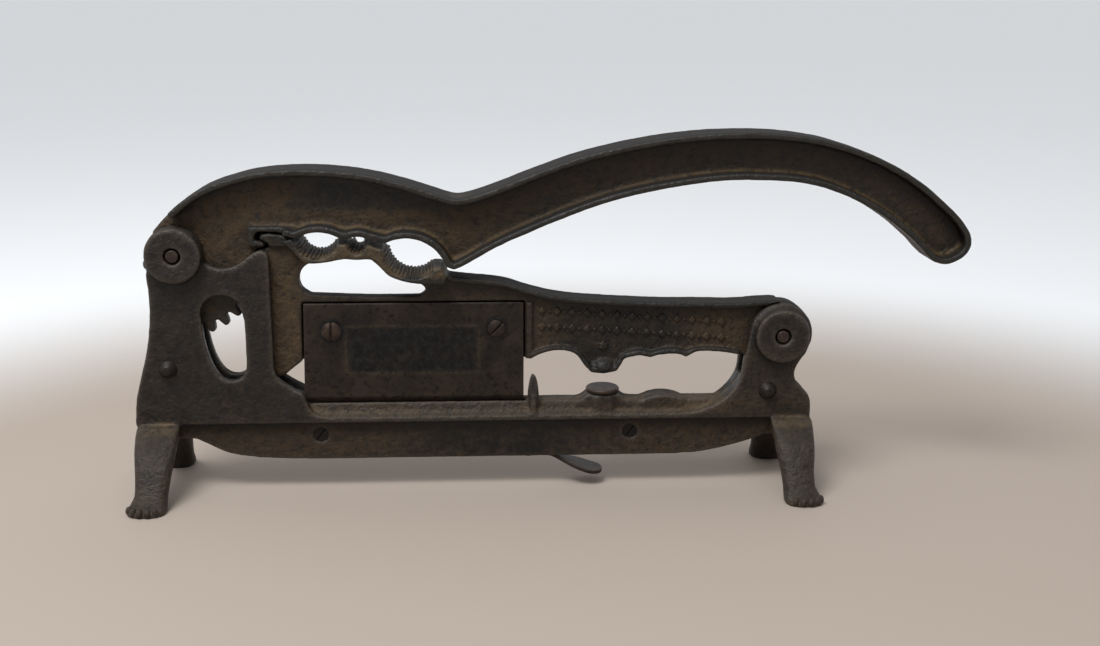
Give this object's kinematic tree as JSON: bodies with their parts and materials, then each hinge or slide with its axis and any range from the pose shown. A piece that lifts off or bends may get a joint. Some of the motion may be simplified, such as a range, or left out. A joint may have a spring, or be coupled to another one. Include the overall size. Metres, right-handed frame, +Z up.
{
  "type": "compound lever strap cutter",
  "caption": "Cast-iron counter-top cutter: a geared hand lever lifts a pivoted blade carrier with cup jaws over a flanged rail on splayed legs.",
  "frame": {"origin": "centre of the footprint box on the surface that the feet stand on", "axes": "+X along the rail from the lever's pivot end to the hand end, +Z up, the blade shows on the -Y side"},
  "size_m": [0.4286, 0.0878, 0.1867],
  "materials": {
    "frame_iron": "satin, dark brown-black patina",
    "lever_iron": "satin, rust-brown patina",
    "blade_steel": "dull, darkly stained",
    "fastener_steel": "satin, browned"
  },
  "bodies": {
    "frame": {"front_frame": "frame_iron", "rear_frame": "frame_iron", "lever_pivot_pin": "fastener_steel", "carrier_pivot_pin": "fastener_steel", "left_tie_rivet": "fastener_steel", "right_tie_rivet": "fastener_steel", "left_spacer": "fastener_steel", "anvil_button": "fastener_steel", "keel_screw_left": "fastener_steel", "keel_nut_left": "fastener_steel", "keel_screw_right": "fastener_steel", "keel_nut_right": "fastener_steel", "tongue": "fastener_steel", "tongue_rivet": "fastener_steel"},
    "lever": {"hand_lever": "lever_iron"},
    "carrier": {"blade_carrier": "lever_iron", "blade": "blade_steel", "blade_screw_left": "fastener_steel", "blade_screw_right": "fastener_steel", "blade_nut_left": "fastener_steel", "blade_nut_right": "fastener_steel"}
  },
  "joints": [
    {"name": "lever_hinge", "type": "hinge", "parent": "frame", "child": "lever", "pos_m": [-0.1893, 0, 0.126], "axis": [0, -1, 0], "range_deg": [0, 60]},
    {"name": "carrier_hinge", "type": "hinge", "parent": "frame", "child": "carrier", "pos_m": [0.1187, 0, 0.082], "axis": [0, 1, 0], "range_deg": [0, 9.5]}
  ],
  "couplings": [
    {"joint": "carrier_hinge", "follows": "lever_hinge", "ratio": 0.15741}
  ]
}
